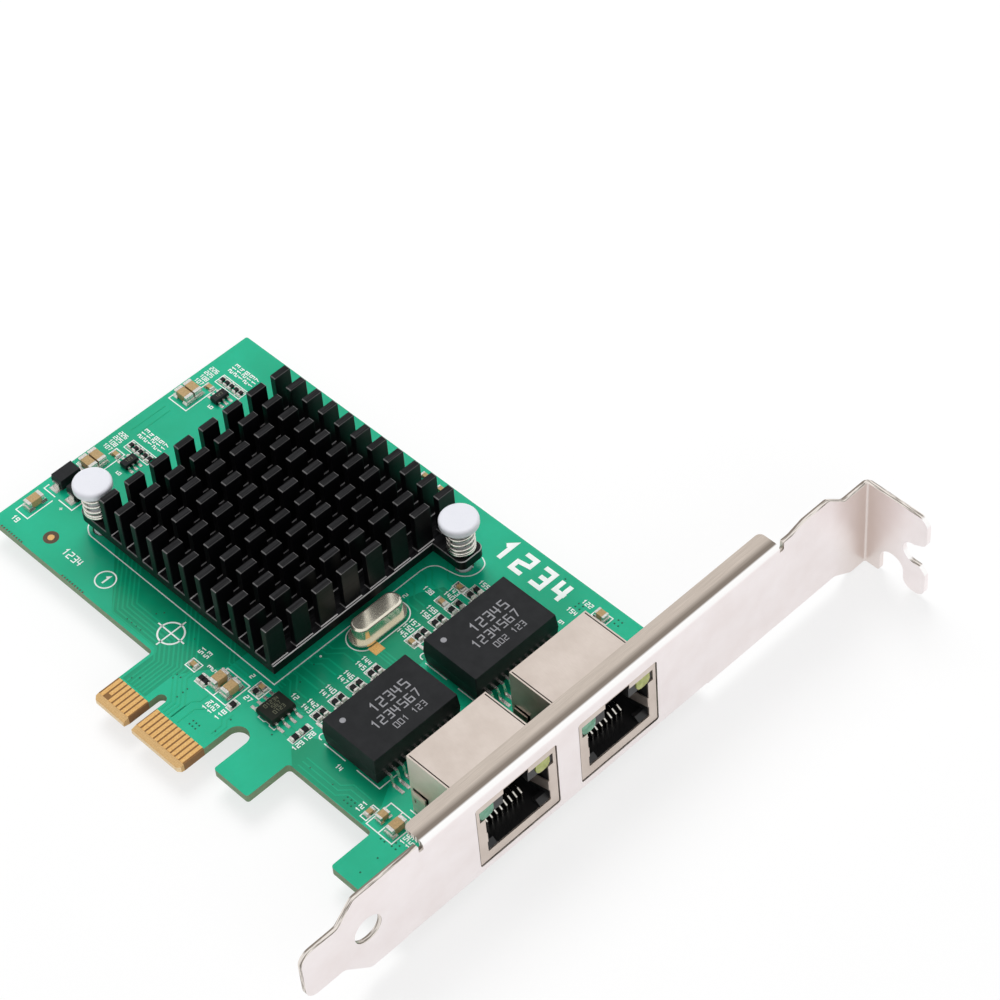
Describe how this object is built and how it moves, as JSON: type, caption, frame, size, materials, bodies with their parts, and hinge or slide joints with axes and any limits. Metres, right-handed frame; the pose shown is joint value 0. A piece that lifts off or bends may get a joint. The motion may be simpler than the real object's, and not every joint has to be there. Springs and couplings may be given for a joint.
{
  "type": "network interface card",
  "caption": "Circuit card with a folded slot bracket, twin modular network sockets, magnetics modules and a pin-fin heatsink held by sprung push pins.",
  "frame": {"origin": "centre line of the edge connector's key notch, level with the tip of its tongue, in the middle of the board's thickness", "axes": "+X along the card's lower edge toward the bracket, +Y away from the edge connector, +Z out of the component side"},
  "size_m": [0.1198, 0.12, 0.0221],
  "materials": {
    "board_green": "green solder mask over glass-fibre laminate",
    "gold": "gold plating",
    "bracket_nickel": "nickel-plated sheet steel",
    "screw_steel": "zinc-plated steel",
    "chip_black": "moulded epoxy",
    "solder": "tin plating",
    "thermal_grey": "thermal interface pad",
    "heatsink_black": "black anodised extrusion",
    "can_steel": "drawn nickel-plated can",
    "nylon_white": "white nylon",
    "spring_steel": "plated spring wire",
    "shield_nickel": "nickel-plated thin sheet",
    "light_green": "translucent green lens",
    "light_yellow": "translucent yellow lens",
    "housing_black": "black moulded thermoplastic",
    "capacitor_tan": "fired ceramic",
    "resistor_black": "glazed ceramic"
  },
  "bodies": {
    "card": {"circuit_board": "board_green", "edge_contacts_component_side": "gold", "edge_contacts_solder_side": "gold", "bracket": "bracket_nickel", "bracket_screws": "screw_steel", "controller_chip": "chip_black", "controller_solder_balls": "solder", "thermal_pad": "thermal_grey", "heatsink": "heatsink_black", "memory_chip_body": "chip_black", "memory_chip_leads": "solder", "crystal_can": "can_steel", "crystal_leads": "solder", "push_pin_spring_left": "spring_steel", "push_pin_spring_right": "spring_steel", "jack_lower_shield": "shield_nickel", "jack_lower_contacts": "gold", "jack_lower_green_light": "light_green", "jack_lower_yellow_light": "light_yellow", "jack_lower_housing": "housing_black", "magnetics_lower_body": "chip_black", "magnetics_lower_leads": "solder", "regulator_lower_body": "chip_black", "regulator_lower_leads": "solder", "jack_upper_shield": "shield_nickel", "jack_upper_contacts": "gold", "jack_upper_green_light": "light_green", "jack_upper_yellow_light": "light_yellow", "jack_upper_housing": "housing_black", "magnetics_upper_body": "chip_black", "magnetics_upper_leads": "solder", "regulator_upper_body": "chip_black", "regulator_upper_leads": "solder", "diode_outer_body": "chip_black", "diode_outer_leads": "solder", "diode_inner_body": "chip_black", "diode_inner_leads": "solder", "large_capacitor_bodies": "capacitor_tan", "large_capacitor_ends": "solder", "small_capacitor_bodies": "capacitor_tan", "small_capacitor_ends": "solder", "resistor_bodies": "resistor_black", "resistor_ends": "solder"},
    "pin_left": {"push_pin_left": "nylon_white"},
    "pin_right": {"push_pin_right": "nylon_white"}
  },
  "joints": [
    {"name": "push_pin_left_press", "type": "slide", "parent": "card", "child": "pin_left", "axis": [0, 0, -1], "range_m": [0, 0.0015], "stiffness_N_per_m": 1500, "springref_m": -0.003, "deforming": ["push_pin_spring_left"]},
    {"name": "push_pin_right_press", "type": "slide", "parent": "card", "child": "pin_right", "axis": [0, 0, -1], "range_m": [0, 0.0015], "stiffness_N_per_m": 1500, "springref_m": -0.003, "deforming": ["push_pin_spring_right"]}
  ]
}
